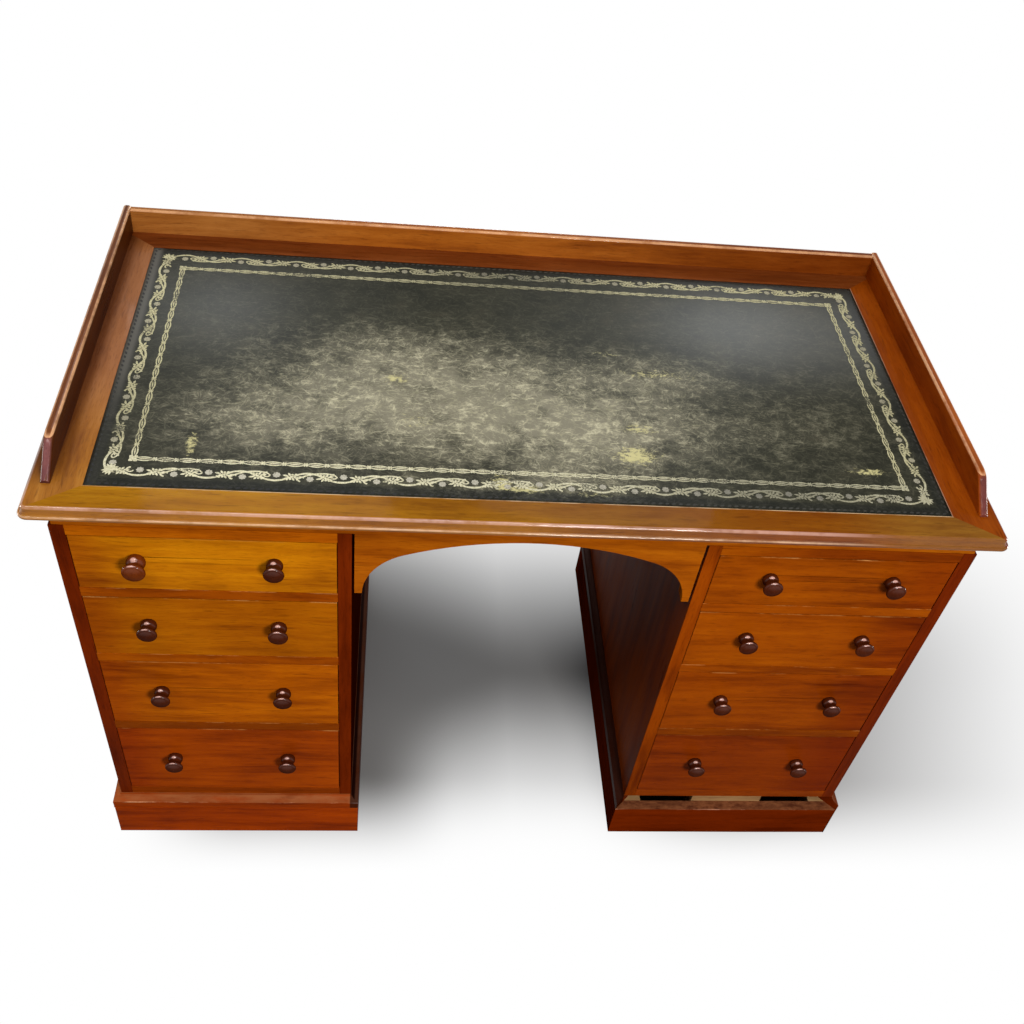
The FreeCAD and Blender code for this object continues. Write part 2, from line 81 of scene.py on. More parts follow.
class Shader:
    """A material's node tree, with short ways to add nodes and join them."""

    def __init__(self, name):
        self.material = bpy.data.materials.new(name)
        self.material.use_nodes = True
        self.tree = self.material.node_tree
        self.tree.nodes.clear()
        self.output = self.add("ShaderNodeOutputMaterial")
        self.surface = self.add("ShaderNodeBsdfPrincipled")
        self.join(self.surface.outputs["BSDF"], self.output.inputs["Surface"])
        self.place = self.add("ShaderNodeTexCoord").outputs["Object"]
        self.normal = self.add("ShaderNodeNewGeometry").outputs["Normal"]

    def add(self, kind, **settings):
        node = self.tree.nodes.new(kind)
        for key, value in settings.items():
            setattr(node, key, value)
        return node

    def join(self, source, target):
        self.tree.links.new(source, target)

    def feed(self, socket, value):
        """A socket takes another node's output or a plain value."""
        if isinstance(value, bpy.types.NodeSocket):
            self.join(value, socket)
        else:
            socket.default_value = value

    def math(self, operation, first, second=0.0, clamp=False):
        node = self.add("ShaderNodeMath", operation=operation, use_clamp=clamp)
        self.feed(node.inputs[0], first)
        self.feed(node.inputs[1], second)
        return node.outputs[0]

    def product(self, first, *others):
        for value in others:
            first = self.math("MULTIPLY", first, value)
        return first

    def weighted(self, *pairs):
        """The sum of some values, each times its own weight."""
        total = None
        for value, weight in pairs:
            part = self.math("MULTIPLY", value, weight)
            total = part if total is None else self.math("ADD", total, part)
        return total

    def mapped(self, vector, scale=(1, 1, 1), shift=(0, 0, 0), turn=0.0):
        node = self.add("ShaderNodeMapping")
        self.feed(node.inputs["Vector"], vector)
        node.inputs["Scale"].default_value = scale
        node.inputs["Location"].default_value = shift
        node.inputs["Rotation"].default_value = (0, 0, turn)
        return node.outputs["Vector"]

    def noise(self, vector, scale, detail=3.0, roughness=0.55, distortion=0.0):
        node = self.add("ShaderNodeTexNoise")
        self.feed(node.inputs["Vector"], vector)
        node.inputs["Scale"].default_value = scale
        node.inputs["Detail"].default_value = detail
        node.inputs["Roughness"].default_value = roughness
        node.inputs["Distortion"].default_value = distortion
        return node.outputs["Fac"]

    def between(self, value, low, high, out_low=0.0, out_high=1.0):
        node = self.add("ShaderNodeMapRange", interpolation_type="SMOOTHSTEP")
        self.feed(node.inputs["Value"], value)
        for key, number in zip(("From Min", "From Max", "To Min", "To Max"), (low, high, out_low, out_high)):
            node.inputs[key].default_value = number
        return node.outputs["Result"]

    def ramp(self, value, *stops):
        node = self.add("ShaderNodeValToRGB")
        self.feed(node.inputs["Fac"], value)
        points = node.color_ramp.elements
        while len(points) < len(stops):
            points.new(0.5)
        for point, (position, colour) in zip(points, stops):
            point.position = position
            point.color = colour
        return node.outputs["Color"]

    def blend(self, share, first, second):
        """One colour turning into another. A mix node has its colours at sockets 6, 7 and 2."""
        node = self.add("ShaderNodeMix", data_type="RGBA")
        self.feed(node.inputs[0], share)
        self.feed(node.inputs[6], first)
        self.feed(node.inputs[7], second)
        return node.outputs[2]

    def times(self, colour, factors):
        node = self.add("ShaderNodeVectorMath", operation="MULTIPLY")
        self.feed(node.inputs[0], colour)
        node.inputs[1].default_value = factors
        return node.outputs[0]

    def axes(self, vector):
        node = self.add("ShaderNodeSeparateXYZ")
        self.join(vector, node.inputs[0])
        return node.outputs

    def painted(self, key):
        """The strength that a mesh has at each point under some name."""
        return self.add("ShaderNodeAttribute", attribute_name=key).outputs["Fac"]

    def bump(self, height, strength, distance):
        node = self.add("ShaderNodeBump")
        node.inputs["Strength"].default_value = strength
        node.inputs["Distance"].default_value = distance
        self.join(height, node.inputs["Height"])
        return node.outputs["Normal"]

    def set(self, **values):
        for key, value in values.items():
            self.feed(self.surface.inputs[key.replace("_", " ")], value)


# How many times the figure of the wood changes in a metre, along each axis of a board
GRAIN = {"x": (3.2, 34.0, 34.0), "y": (34.0, 3.2, 34.0), "z": (34.0, 34.0, 3.2)}
# How far its lines wander from straight, and how many times in a metre
GRAIN_SWAY, SWAYS_IN_METRE = 16 * MM, 6.0
# Which value of the figure has a wood's middle shade, and how far from it the dark and the light ones lie
MIDDLE_TONE, TONE_SPREAD = 0.53, 0.13
# Between which values of the noise a pore is deep and gone
PORE = (0.30, 0.46)


def board_place(shader, along):
    """Where a point lies on its board. Boards of a frame run along the way that they face across."""
    if along != "frame":
        return shader.place, along
    x, y, z = shader.axes(shader.place)
    turned = shader.add("ShaderNodeCombineXYZ")
    for socket, value in zip(turned.inputs, (y, x, z)):
        shader.join(value, socket)
    sideways = shader.math("GREATER_THAN", shader.math("ABSOLUTE", shader.axes(shader.normal)[X]), 0.5)
    # A mix node has its vectors at sockets 4, 5 and 1
    pick = shader.add("ShaderNodeMix", data_type="VECTOR")
    shader.join(sideways, pick.inputs[0])
    shader.join(shader.place, pick.inputs[4])
    shader.join(turned.outputs[0], pick.inputs[5])
    return pick.outputs[1], "x"


def swayed(shader, place):
    """A place that wanders a little, so that no line of the grain is straight."""
    wander = shader.add("ShaderNodeTexNoise")
    shader.join(place, wander.inputs["Vector"])
    wander.inputs["Scale"].default_value = SWAYS_IN_METRE
    sway = shader.add("ShaderNodeVectorMath", operation="MULTIPLY_ADD")
    shader.join(wander.outputs["Color"], sway.inputs[0])
    sway.inputs[1].default_value = (GRAIN_SWAY,) * 3
    shader.join(place, sway.inputs[2])
    return sway.outputs[0]


def tones(red, green, blue):
    """Dark, middle and light shades of one wood. The dark one is redder."""
    return (srgb(0.70 * red, 0.58 * green, 0.6 * blue), srgb(red, green, blue),
            srgb(min(255, 1.15 * red), 1.24 * green, 1.5 * blue))


def wood(name, shades, along, shift, gloss=0.32, shine=0.006, coat=(0.0, 0.0), span=(0.90, 0.99), figure=0.8,
         worn=()):
    """Polished wood with its figure, streaks and pores along the board, and, if given, worn places and
    painted light and shade.

    The coat of polish has one weight on faces that look up and another on the rest. The span holds how
    far up a face looks where the first weight sets in and is full."""
    shader = Shader(name)
    dark, middle, light = shades
    place, along = board_place(shader, along)
    moved = shader.mapped(place, shift=(shift * 1.7, shift * 0.9, shift * 1.3))
    lines = swayed(shader, moved)

    def grained(finer, detail, roughness):
        scale = [finer * number for number in GRAIN[along]]
        return shader.noise(shader.mapped(lines, scale=scale), 1.0, detail, roughness)

    broad = grained(1.0, 3.0, 0.55)
    streak = grained(3.6, 4.0, 0.62)
    line = grained(8.0, 2.0, 0.5)
    pores = grained(24.0, 2.0, 0.5)
    cloud = shader.noise(moved, 7.0, 3.0, 0.5)
    tone = shader.weighted((broad, 0.42), (streak, 0.34), (cloud, 0.30))
    spread = TONE_SPREAD / figure
    colour = shader.ramp(tone, (MIDDLE_TONE - spread, dark), (MIDDLE_TONE, middle),
                         (MIDDLE_TONE + spread, light))
    deep = tuple(0.6 * part for part in dark[:3]) + (1.0,)
    colour = shader.blend(shader.between(line, 0.60, 0.74, 0.0, 0.5 * figure), colour, deep)
    colour = shader.blend(shader.between(pores, *PORE, 0.32 * figure, 0.0), colour, deep)
    for rule in worn:
        colour = rule(shader, colour)
    uneven = shader.weighted((cloud, 0.6), (streak, 0.4))
    if coat[0] != coat[1]:
        polish = shader.between(shader.axes(shader.normal)[Z], *span, coat[1], coat[0])
    else:
        polish = coat[0]
    relief = shader.weighted((shader.between(pores, *PORE), 1.0), (streak, 0.6))
    shader.set(Base_Color=colour, Roughness=shader.between(uneven, 0.3, 0.7, gloss - 0.06, gloss + 0.10),
               Specular_IOR_Level=shine, Coat_Weight=polish, Coat_Roughness=0.06,
               Normal=shader.bump(relief, 0.10, 0.4 * MM))
    return shader.material


def speckle(shader, scale, detail=5.0, roughness=0.7):
    """Noise that breaks wear up, with how many times it changes in a metre along each axis."""
    return shader.noise(shader.mapped(shader.place, scale=scale), 1.0, detail, roughness)


def pale_edges(front, heights, colour, amount, width=1.6 * MM):
    """A wear rule: at a front face's edges the finish is rubbed away in broken lines."""
    def rub(shader, base):
        x, y, z = shader.axes(shader.place)
        share = None
        for height in heights:
            near = shader.math("ABSOLUTE", shader.math("SUBTRACT", z, height))
            line = shader.between(near, 0.4 * width, width, 1.0, 0.0)
            share = line if share is None else shader.math("MAXIMUM", share, line)
        ahead = shader.between(y, front + 0.5 * width, front + width, 1.0, 0.0)
        gone = shader.between(speckle(shader, (16, 16, 90)), 0.48, 0.64, 0.0, amount)
        return shader.blend(shader.product(share, ahead, gone), base, colour)
    return rub


def raw_tops(colour, dirt):
    """A wear rule: faces that look up are bare, rough and stained with old glue."""
    def rub(shader, base):
        up = shader.between(shader.axes(shader.normal)[Z], 0.5, 0.9)
        stained = shader.ramp(speckle(shader, (60, 120, 60)), (0.35, dirt), (0.62, colour))
        return shader.blend(up, base, stained)
    return rub


def bright_rims(low, high, colour, amount, fade=None):
    """Painted highlight: rounded edges between two heights are painted pale where they look halfway up,
    broken by noise.

    fade holds where across the desk this sets in and is full."""
    def rub(shader, base):
        up = shader.axes(shader.normal)[Z]
        x, y, z = shader.axes(shader.place)
        rim = shader.product(shader.between(up, 0.20, 0.55), shader.between(up, 0.90, 0.985, 1.0, 0.0),
                             shader.math("GREATER_THAN", z, low), shader.math("LESS_THAN", z, high))
        if fade:
            rim = shader.product(rim, shader.between(x, *fade))
        gone = shader.between(speckle(shader, (14, 14, 14), 4.0), 0.36, 0.58, 0.35 * amount, amount)
        return shader.blend(shader.product(rim, gone), base, colour)
    return rub


def pale_line(axis, place, width, colour, amount):
    """Painted highlight: a broken pale line along one edge of a board."""
    def rub(shader, base):
        near = shader.math("ABSOLUTE", shader.math("SUBTRACT", shader.axes(shader.place)[axis], place))
        line = shader.between(near, 0.5 * width, width, 1.0, 0.0)
        gone = shader.between(speckle(shader, (12, 12, 12)), 0.40, 0.58, 0.15, amount)
        return shader.blend(shader.product(line, gone), base, colour)
    return rub


def within(shader, share, only):
    """A share that is kept to a stretch, if given: an axis, and where along it this sets in and is full."""
    if only is None:
        return share
    axis, start, end = only
    return shader.product(share, shader.between(shader.axes(shader.place)[axis], start, end))


def changes(axis, start, end, factors, only=None):
    """A colour rule: from one place to another along an axis the colour changes by some factors; some uses
    paint shade, others change a board's tone.
    """
    def rub(shader, base):
        share = shader.between(shader.axes(shader.place)[axis], start, end)
        return shader.blend(within(shader, share, only), base, shader.times(base, factors))
    return rub


def facing(axis, start, end, factors, only=None):
    """A colour rule that paints light and shade: faces that look some way change colour by some factors."""
    def rub(shader, base):
        share = shader.between(shader.axes(shader.normal)[axis], start, end)
        return shader.blend(within(shader, share, only), base, shader.times(base, factors))
    return rub


def rubbed(direction, near, colour, amount):
    """Painted glint: rounded faces that look one way are painted pale.

    near holds how closely they look that way where this sets in and is full."""
    def rub(shader, base):
        node = shader.add("ShaderNodeVectorMath", operation="DOT_PRODUCT")
        shader.join(shader.normal, node.inputs[0])
        node.inputs[1].default_value = direction
        return shader.blend(shader.between(node.outputs["Value"], *near, 0.0, amount), base, colour)
    return rub


def dusty_hollows(colour, amount):
    """A wear rule: faces that look halfway up gather dust."""
    def rub(shader, base):
        up = shader.between(shader.axes(shader.normal)[Z], 0.25, 0.6)
        grime = shader.between(speckle(shader, (20, 20, 90), 4.0, 0.65), 0.3, 0.6, 0.3, amount)
        return shader.blend(shader.product(up, grime), base, colour)
    return rub


def level(name, end):
    """The height of a node's lowest or highest point."""
    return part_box(name)[end][Z]


DRAWERS = [side + "_" + str(number) for side in ("left", "right") for number in (1, 2, 3, 4)]
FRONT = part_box("pedestal_left_inner_side")[LOW][Y]
LEATHER_LOW, LEATHER_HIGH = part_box("leather_writing_surface")
LEATHER_TOP = LEATHER_HIGH[Z]
GALLERY_TOP, SURFACE = level("gallery_back", HIGH), level("top_border_front", HIGH)
PLINTH_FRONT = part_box("plinth_left_boards")[LOW][Y]
PLINTH_TOP = level("plinth_left_boards", HIGH)
LIP_TOP = PLINTH_TOP + 15 * MM
DIVIDER_TOPS = [level("drawer_left_" + str(number) + "_front", LOW) for number in (1, 2, 3)]
KNEES_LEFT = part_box("plinth_left_moulding")[HIGH][X]
KNEES_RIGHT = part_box("plinth_right_moulding")[LOW][X]
# How far inside those the painted shade of the kneehole sets in and is full
KNEES_SHADE_START, KNEES_SHADE_FULL = 14 * MM, 12 * MM

# Rules of wear, and of painted light and shade, for more than one piece or too long for the list of woods
WORN_WOOD = srgb(208, 146, 80)
# Painted highlights on the galleries' rounded top edges
GALLERY_TOP_HIGHLIGHT = bright_rims(GALLERY_TOP - 3.2 * MM, GALLERY_TOP + MM, srgb(226, 172, 126), 0.75)
# Painted highlights along the top's front nosing and its bead, fading out towards the right
NOSING_FADE = (0.48, 0.34)
NOSING_HIGHLIGHT = bright_rims(SURFACE - 3.6 * MM, SURFACE + MM, srgb(228, 186, 172), 0.40, NOSING_FADE)
BEAD_HIGHLIGHT = bright_rims(SURFACE - 14.6 * MM, SURFACE - 11.2 * MM, srgb(242, 204, 168), 0.45, NOSING_FADE)
# Painted highlights on the wooden lips along the leather's front and right edges
FRONT_LIP_HIGHLIGHT = pale_line(Y, LEATHER_LOW[Y], 1.6 * MM, srgb(206, 178, 140), 0.8)
RIGHT_LIP_HIGHLIGHT = pale_line(X, LEATHER_HIGH[X], 1.2 * MM, srgb(178, 140, 116), 0.7)
# A painted glint on the knobs' faces that look up and forward
KNOB_GLINT = rubbed((-0.10, -0.50, 0.86), (0.93, 0.985), srgb(214, 172, 162), 0.75)
# The galleries' front end faces turn purple-brown: on the left lighter, out of the board's painted shade, on
# the right darker
LEFT_END = facing(Y, -0.25, -0.6, (1.3, 1.6, 7.0))
RIGHT_END = facing(Y, -0.25, -0.6, (0.48, 0.66, 11.0))
# Painted shade in the kneehole: on the left plinth's faces that look into it, and on the mouldings within it
KNEEHOLE_PAINTED_SHADE = facing(X, 0.2, 0.5, (0.16, 0.12, 0.16), (X, 0.1, -0.1))
KNEEHOLE_EDGE_SHADE = changes(X, KNEES_LEFT - KNEES_SHADE_START, KNEES_LEFT - KNEES_SHADE_FULL, (0.20, 0.24, 0.42),
                        (X, KNEES_RIGHT + KNEES_SHADE_START, KNEES_RIGHT + KNEES_SHADE_FULL))
# Painted shade on faces that look to the left
PAINTED_SHADE_LEFTWARD = facing(X, -0.5, -0.8, (0.6, 0.55, 0.7))
PALE_TOPS = pale_edges(FRONT, DIVIDER_TOPS, WORN_WOOD, 0.4)
# Painted shade: the dividers grow darker towards the bottom
LOW_PAINTED_SHADE = changes(Z, 0.45, 0.28, (0.66, 0.60, 0.8))
# Painted shade: the mouldings darker to the right of the middle
RIGHT_PAINTED_SHADE = changes(X, -0.1, 0.1, (0.42, 0.35, 0.40))
DARK_ENDS = {"left": changes(X, -0.50, -0.565, (0.80, 0.64, 0.8)),
             "right": changes(X, 0.44, 0.56, (0.78, 0.60, 0.6))}
RAW_TOPS = raw_tops(srgb(122, 74, 46), srgb(78, 40, 24))
DUST = dusty_hollows(srgb(152, 92, 54), 0.8)
PLINTH_EDGE = pale_edges(PLINTH_FRONT, [PLINTH_TOP], srgb(206, 150, 118), 0.7)
LIP_EDGE = pale_edges(PLINTH_FRONT, [LIP_TOP], srgb(226, 168, 124), 0.9)

KNOB_POLISH = {"gloss": 0.24, "shine": 0.0, "coat": (0.45, 0.03), "span": (0.1, 0.5), "figure": 0.6,
               "worn": [KNOB_GLINT]}
# Each wood has its name, shades, the way of its grain, and a number that moves the grain on
materials = {
    # The front border: darker and redder towards the right, with a painted grey reflection near its right end
    # and painted shade on faces that look forward
    "top_front": wood(
        "mahogany_top_front", tones(147, 95, 12), "x", 1.0, gloss=0.26, shine=0.008, coat=(0.05, 0.5),
        worn=[changes(X, -0.40, 0.20, (0.60, 0.53, 0.80)), changes(X, 0.10, 0.32, (0.98, 0.74, 0.35)),
              changes(X, 0.36, 0.52, (1.16, 1.7, 8.0)), facing(Y, -0.2, -0.6, (0.92, 0.82, 1.0)),
              NOSING_HIGHLIGHT, BEAD_HIGHLIGHT, FRONT_LIP_HIGHLIGHT]),
    "top_back": wood(
        "mahogany_top_back", tones(112, 54, 18), "x", 1.4, gloss=0.26, shine=0.03, coat=(0.12, 0.5)),
    # The left border: lighter and more golden towards the front, with painted shade next to the left gallery
    # behind its front end
    "top_left": wood(
        "mahogany_top_left", tones(137, 84, 44), "y", 2.0, gloss=0.26, shine=0.03, coat=(0.10, 0.6),
        worn=[changes(Y, 0.0, -0.24, (1.25, 1.3, 0.5)), NOSING_HIGHLIGHT, BEAD_HIGHLIGHT,
              changes(X, -0.558, -0.580, (0.42, 0.34, 0.3), (Y, -0.27, -0.22))]),
    "top_right": wood(
        "mahogany_top_right", tones(124, 54, 5), "y", 2.5, gloss=0.26, shine=0.010, coat=(0.03, 0.5),
        worn=[RIGHT_LIP_HIGHLIGHT, NOSING_HIGHLIGHT, BEAD_HIGHLIGHT]),
    "gallery_long": wood(
        "mahogany_gallery_back", tones(150, 82, 22), "x", 3.0, gloss=0.30, shine=0.02, coat=(0.15, 0.15),
        worn=[changes(X, -0.20, -0.45, (0.98, 1.2, 2.2)), changes(X, 0.0, 0.50, (0.50, 0.36, 0.3)), GALLERY_TOP_HIGHLIGHT]),
    # The left gallery: dark tones as painted shade, with its faces that look up painted lighter, as lit
    "gallery_left": wood(
        "mahogany_gallery_left", tones(71, 32, 8), "y", 4.0, gloss=0.30, shine=0.01, coat=(0.2, 0.2),
        worn=[facing(Z, 0.45, 0.95, (2.4, 3.0, 4.0)), LEFT_END, GALLERY_TOP_HIGHLIGHT]),
    # The right gallery: its faces that look up are painted lighter and greyer, a painted sheen
    "gallery_right": wood(
        "mahogany_gallery_right", tones(140, 60, 6), "y", 4.4, gloss=0.30, shine=0.01, coat=(0.2, 0.2),
        worn=[facing(Z, 0.45, 0.95, (1.0, 1.2, 1.6)), RIGHT_END, GALLERY_TOP_HIGHLIGHT]),
    "apron": wood("mahogany_apron", tones(158, 80, 8), "x", 5.0, shine=0.0),
    "inner_side": wood("mahogany_inner_side", tones(134, 56, 3), "z", 6.0, shine=0.003, worn=[PAINTED_SHADE_LEFTWARD]),
    # The left pedestal's inner side: dark tones, with painted shade on its faces that look into the kneehole
    "painted_shade_side": wood("mahogany_painted_shade_side", tones(107, 35, 4), "z", 6.6, shine=0.0,
                      worn=[facing(X, 0.5, 0.8, (0.20, 0.16, 0.22))]),
    "outer_side": wood("mahogany_outer_side", tones(107, 34, 2), "z", 6.3),
    "rail": wood("mahogany_rail", tones(176, 88, 4), "x", 7.5,
                 worn=[changes(X, 0.0, 0.45, (0.50, 0.36, 0.6))]),
    "divider": wood("mahogany_divider", tones(147, 67, 3), "x", 7.0, worn=[LOW_PAINTED_SHADE, PALE_TOPS]),
    "bottom": wood("mahogany_bottom_board", tones(132, 53, 4), "x", 7.8),
    "moulding": wood("mahogany_plinth_moulding", tones(146, 54, 3), "frame", 8.0, gloss=0.36,
                     worn=[DUST, LIP_EDGE, RIGHT_PAINTED_SHADE, KNEEHOLE_PAINTED_SHADE, KNEEHOLE_EDGE_SHADE]),
    "plinth_left": wood("mahogany_plinth_left", tones(156, 57, 3), "frame", 8.4, gloss=0.36,
                        worn=[KNEEHOLE_PAINTED_SHADE]),
    "plinth_right": wood("mahogany_plinth_right", tones(104, 32, 2), "frame", 8.7, gloss=0.36, shine=0.0,
                         worn=[PAINTED_SHADE_LEFTWARD, RAW_TOPS, PLINTH_EDGE]),
    "lining": wood("drawer_lining_wood", tones(172, 134, 86), "y", 9.0, gloss=0.6, shine=0.08, figure=0.7),
    "rough": wood("secondary_wood", tones(166, 130, 86), "frame", 10.0, gloss=0.66, shine=0.08, figure=0.7),
    "backs": wood("stained_back_wood", tones(108, 62, 32), "z", 11.0, gloss=0.6, shine=0.05),
    "batten": wood("stained_batten_wood", tones(98, 44, 18), "frame", 11.6, gloss=0.5, shine=0.05),
    "knob": wood("dark_knob_wood", tones(68, 27, 10), "y", 12.0, **KNOB_POLISH),
    "large_knob": wood("brown_knob_wood", tones(98, 42, 10), "y", 13.0, **KNOB_POLISH),
}

# Each drawer front's own middle shade, and how much its top edge is rubbed where that is more than a little
FRONT_TONES = {
    "left_1": (186, 110, 7), "left_2": (159, 84, 4), "left_3": (170, 84, 4), "left_4": (158, 65, 5),
    "right_1": (142, 65, 3), "right_2": (145, 66, 3), "right_3": (137, 59, 3), "right_4": (126, 48, 3),
}
FRONT_WEAR = {"left_2": 0.6, "left_3": 0.45, "left_4": 0.75, "right_1": 0.7, "right_2": 0.4, "right_3": 0.4}
LITTLE_WEAR = 0.15
for number, drawer in enumerate(DRAWERS):
    board = "drawer_" + drawer + "_front"
    side = drawer.split("_")[0]
    edge = pale_edges(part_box(board)[LOW][Y], [level(board, HIGH)], WORN_WOOD,
                      FRONT_WEAR.get(drawer, LITTLE_WEAR))
    materials[board] = wood("mahogany_" + board, tones(*FRONT_TONES[drawer]), "x", 20.0 + 1.37 * number,
                            worn=[DARK_ENDS[side], edge])


def screw_steel():
    shader = Shader("dull_screw_steel")
    grime = shader.noise(shader.place, 900.0, 3.0)
    shader.set(Base_Color=shader.ramp(grime, (0.3, srgb(70, 64, 56)), (0.7, srgb(128, 122, 112))),
               Roughness=shader.between(grime, 0.3, 0.7, 0.35, 0.6), Metallic=0.9)
    return shader.material


materials["top_screws"] = screw_steel()

# Which material a node takes: its own, or the first whose words end its name
ENDINGS = (
    ("_box", "lining"), ("_large_knob", "large_knob"), ("_knobs", "knob"), ("top_border_front", "top_front"),
    ("top_border_back", "top_back"), ("top_border_left", "top_left"), ("top_border_right", "top_right"),
    ("gallery_back", "gallery_long"), ("arched_apron", "apron"), ("_moulding", "moulding"),
    ("left_boards", "plinth_left"), ("right_boards", "plinth_right"), ("left_inner_side", "painted_shade_side"),
    ("right_inner_side", "inner_side"), ("_outer_side", "outer_side"), ("_top_board", "rail"),
    ("_dividers", "divider"), ("_bottom_board", "bottom"), ("left_back", "backs"), ("right_back", "backs"),
    ("_back_batten", "batten"), ("_end_battens", "batten"), ("", "rough"),
)


def material_for(name):
    if name in materials:
        return materials[name]
    return next(materials[kind] for ending, kind in ENDINGS if name.endswith(ending))


def soften(thing, width):
    """Rounds a board's edges a little, as hands and polish do."""
    weld = thing.modifiers.new("weld", "WELD")
    weld.merge_threshold = 0.01 * MM
    bevel = thing.modifiers.new("soft_edges", "BEVEL")
    bevel.width = width
    bevel.segments = 2
    bevel.limit_method = "ANGLE"
    bevel.angle_limit = math.radians(40)
    bevel.use_clamp_overlap = True
    bevel.harden_normals = True


EDGE_ROUNDING = 0.6 * MM
SOFTENED = ("_front", "_side", "_dividers", "_moulding", "_boards", "_bottom_board", "_top_board", "apron")
for name, thing in nodes.items():
    thing.data.materials.clear()
    thing.data.materials.append(material_for(name))
    if name.startswith("gallery_") or name.endswith(SOFTENED) and not name.startswith("top_"):
        soften(thing, EDGE_ROUNDING)

# Leather writing surface

# Where the hide is scuffed, where its colour has gone and where it still shines. Each patch has its
# place across and along the depth, its reach each way and its strength
SCUFFED = (
    (-0.09, -0.07, 0.23, 0.105, 0.95), (-0.33, -0.13, 0.15, 0.08, 0.40), (0.11, -0.12, 0.12, 0.09, 0.45),
    (0.37, -0.11, 0.18, 0.12, 0.19), (-0.20, 0.03, 0.16, 0.06, 0.30), (0.19, 0.01, 0.10, 0.04, 0.32),
    (-0.02, -0.22, 0.12, 0.03, 0.30), (0.00, -0.10, 0.12, 0.06, 0.30),
)
BARED = (
    (0.138, -0.164, 0.030, 0.020, 1.0), (0.148, -0.110, 0.026, 0.012, 0.75),
    (-0.150, -0.112, 0.022, 0.018, 0.55), (-0.178, -0.029, 0.020, 0.014, 0.80),
    (0.191, 0.008, 0.060, 0.013, 0.62), (0.120, 0.050, 0.026, 0.010, 0.50),
    (-0.430, -0.175, 0.008, 0.026, 0.85), (0.453, -0.177, 0.034, 0.008, 0.80),
    (-0.044, -0.222, 0.014, 0.016, 0.85), (-0.010, -0.234, 0.028, 0.008, 0.85),
    (0.070, -0.240, 0.034, 0.006, 0.60),
)
SHINING = ((-0.44, 0.12, 0.13, 0.13, 0.30), (0.43, 0.13, 0.22, 0.13, 0.66))


def patches(table, x, y):
    total = 0.0
    for across, deep, reach_x, reach_y, strength in table:
        total += strength * math.exp(-((x - across) / reach_x) ** 2 - ((y - deep) / reach_y) ** 2)
    return min(1.0, total)


def paint(mesh, key, table):
    """Gives each point of a mesh the strength that some patches have there."""
    layer = mesh.attributes.new(key, "FLOAT", "POINT")
    layer.data.foreach_set("value", [patches(table, *point.co[:2]) for point in mesh.vertices])


def make_leather():
    """A hide glued to the panel: a sheet with a soft rolled rim and a slightly uneven face."""
    columns, rows = 240, 112
    rim_width, roll_depth = 4 * MM, 0.4 * MM
    unevenness, waves_in_metre = 0.08 * MM, 18
    wide, deep = LEATHER_HIGH[X] - LEATHER_LOW[X], LEATHER_HIGH[Y] - LEATHER_LOW[Y]
    vertices, faces = [], []
    for row in range(rows + 1):
        for column in range(columns + 1):
            x, y = LEATHER_LOW[X] + wide * column / columns, LEATHER_LOW[Y] + deep * row / rows
            rim = min(x - LEATHER_LOW[X], LEATHER_HIGH[X] - x, y - LEATHER_LOW[Y], LEATHER_HIGH[Y] - y)
            roll = roll_depth * max(0.0, 1 - rim / rim_width) ** 2
            lift = unevenness * (noise.noise(Vector((x * waves_in_metre, y * waves_in_metre, 3.0))) - 1)
            vertices.append((x, y, LEATHER_TOP + lift - roll))
    step = columns + 1
    for row in range(rows):
        for column in range(columns):
            start = row * step + column
            faces.append((start, start + 1, start + 1 + step, start + step))
    rim_loop = (list(range(columns))
                + [row * step + columns for row in range(rows)]
                + [rows * step + columns - column for column in range(columns)]
                + [(rows - row) * step for row in range(rows)])
    base = len(vertices)
    vertices.extend((vertices[index][X], vertices[index][Y], LEATHER_LOW[Z]) for index in rim_loop)
    count = len(rim_loop)
    for index in range(count):
        after = (index + 1) % count
        faces.append((rim_loop[after], rim_loop[index], base + index, base + after))
    faces.append(tuple(base + count - 1 - index for index in range(count)))
    mesh = bpy.data.meshes.new("leather_hide")
    mesh.from_pydata(vertices, [], faces)
    mesh.polygons.foreach_set("use_smooth", [len(face) == 4 for face in faces])
    for key, table in (("scuffed", SCUFFED), ("bared", BARED), ("shining", SHINING)):
        paint(mesh, key, table)
    mesh.update()
    sheet = bpy.data.objects.new("leather_hide", mesh)
    scene.collection.objects.link(sheet)
    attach(sheet, "desk")
    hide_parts("leather_writing_surface")
    return sheet


# Directions of the scratches on the hide, and how much each shows
SCRATCHES = ((0.05, 1.0), (0.32, 0.8), (-0.28, 0.8), (0.75, 0.7), (-0.80, 0.7), (1.30, 0.6), (-1.25, 0.6))


def scratched(shader):
    """Fine scratches in all those directions."""
    total = None
    for number, (turn, share) in enumerate(SCRATCHES):
        turned = shader.mapped(shader.place, turn=turn, shift=(0.31 * number, 0.17 * number, 0))
        fine = shader.noise(shader.mapped(turned, scale=(58, 270, 1)), 1.0, 3.0, 0.62, 0.7)
        mark = shader.between(fine, 0.57, 0.69, 0.0, share)
        total = mark if total is None else shader.math("MAXIMUM", total, mark)
    return total


def inset(shader):
    """How far a point lies inside the nearest edge of the leather."""
    x, y, z = shader.axes(shader.place)
    distance = shader.math("SUBTRACT", x, LEATHER_LOW[X])
    for value in (shader.math("SUBTRACT", LEATHER_HIGH[X], x), shader.math("SUBTRACT", y, LEATHER_LOW[Y]),
                  shader.math("SUBTRACT", LEATHER_HIGH[Y], y)):
        distance = shader.math("MINIMUM", distance, value)
    return distance


